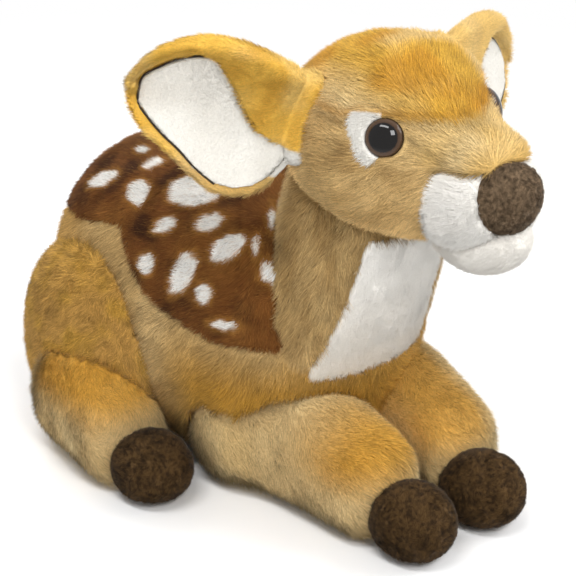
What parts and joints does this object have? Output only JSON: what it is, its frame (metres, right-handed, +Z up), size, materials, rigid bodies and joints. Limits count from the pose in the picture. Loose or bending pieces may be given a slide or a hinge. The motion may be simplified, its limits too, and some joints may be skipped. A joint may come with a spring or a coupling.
{
  "type": "plush toy deer",
  "caption": "Lying plush fawn: stuffed body, head on an upright neck, folded ears, legs stretched forward; ears, tail and front legs flex.",
  "frame": {"origin": "on the flat underside of the belly, midway between the two sides", "axes": "+Z up, the toy faces -Y, its right side is at -X"},
  "size_m": [0.2352, 0.3313, 0.2586],
  "materials": {
    "fur_tan": "long plush fur",
    "fur_gold": "plush fur, golden",
    "fur_white": "white plush fur",
    "fur_brown": "dark brown plush fur with white spots",
    "plush_dark": "short dark plush",
    "plush_nose": "short grey-brown plush",
    "eye_plastic": "glossy, near black with a brown ring",
    "washer_plastic": "plain moulded plastic"
  },
  "bodies": {
    "toy_body": {"chest_panel": "fur_white", "chin": "fur_white", "eye_left": "eye_plastic", "eye_patch_left": "fur_white", "eye_patch_right": "fur_white", "eye_right": "eye_plastic", "eye_washer_left": "washer_plastic", "eye_washer_right": "washer_plastic", "haunch_left": "fur_tan", "haunch_right": "fur_tan", "head": "fur_gold", "hind_hoof_left": "plush_dark", "hind_hoof_right": "plush_dark", "hind_leg_left": "fur_tan", "hind_leg_right": "fur_tan", "muzzle": "fur_white", "neck": "fur_tan", "nose": "plush_nose", "saddle_panel": "fur_brown", "torso": "fur_tan"},
    "ear_right": {"ear_outer_right": "fur_gold", "ear_lining_right": "fur_white"},
    "ear_left": {"ear_outer_left": "fur_gold", "ear_lining_left": "fur_white"},
    "tail": {"tail": "fur_tan"},
    "front_limb_right": {"front_leg_right": "fur_tan", "front_hoof_right": "plush_dark"},
    "front_limb_left": {"front_leg_left": "fur_tan", "front_hoof_left": "plush_dark"}
  },
  "joints": [
    {"name": "ear_fold_right", "type": "hinge", "parent": "toy_body", "child": "ear_right", "pos_m": [-0.0435, -0.105, 0.213], "axis": [0.1952, -0.1056, 0.9751], "range_deg": [-20, 20], "stiffness_Nm_per_rad": 0.06},
    {"name": "ear_fold_left", "type": "hinge", "parent": "toy_body", "child": "ear_left", "pos_m": [0.0435, -0.105, 0.213], "axis": [0.1635, 0.2573, 0.9524], "range_deg": [-20, 20], "stiffness_Nm_per_rad": 0.06},
    {"name": "tail_bend", "type": "hinge", "parent": "toy_body", "child": "tail", "pos_m": [0, 0.096, 0.1], "axis": [1, 0, 0], "range_deg": [-8, 20], "stiffness_Nm_per_rad": 0.06},
    {"name": "front_leg_splay_right", "type": "hinge", "parent": "toy_body", "child": "front_limb_right", "pos_m": [-0.0374, -0.0495, 0.03025], "axis": [0, 0, -1], "range_deg": [0, 12], "stiffness_Nm_per_rad": 0.5},
    {"name": "front_leg_splay_left", "type": "hinge", "parent": "toy_body", "child": "front_limb_left", "pos_m": [0.04142, -0.0495, 0.03025], "axis": [0, 0, 1], "range_deg": [0, 12], "stiffness_Nm_per_rad": 0.5}
  ]
}
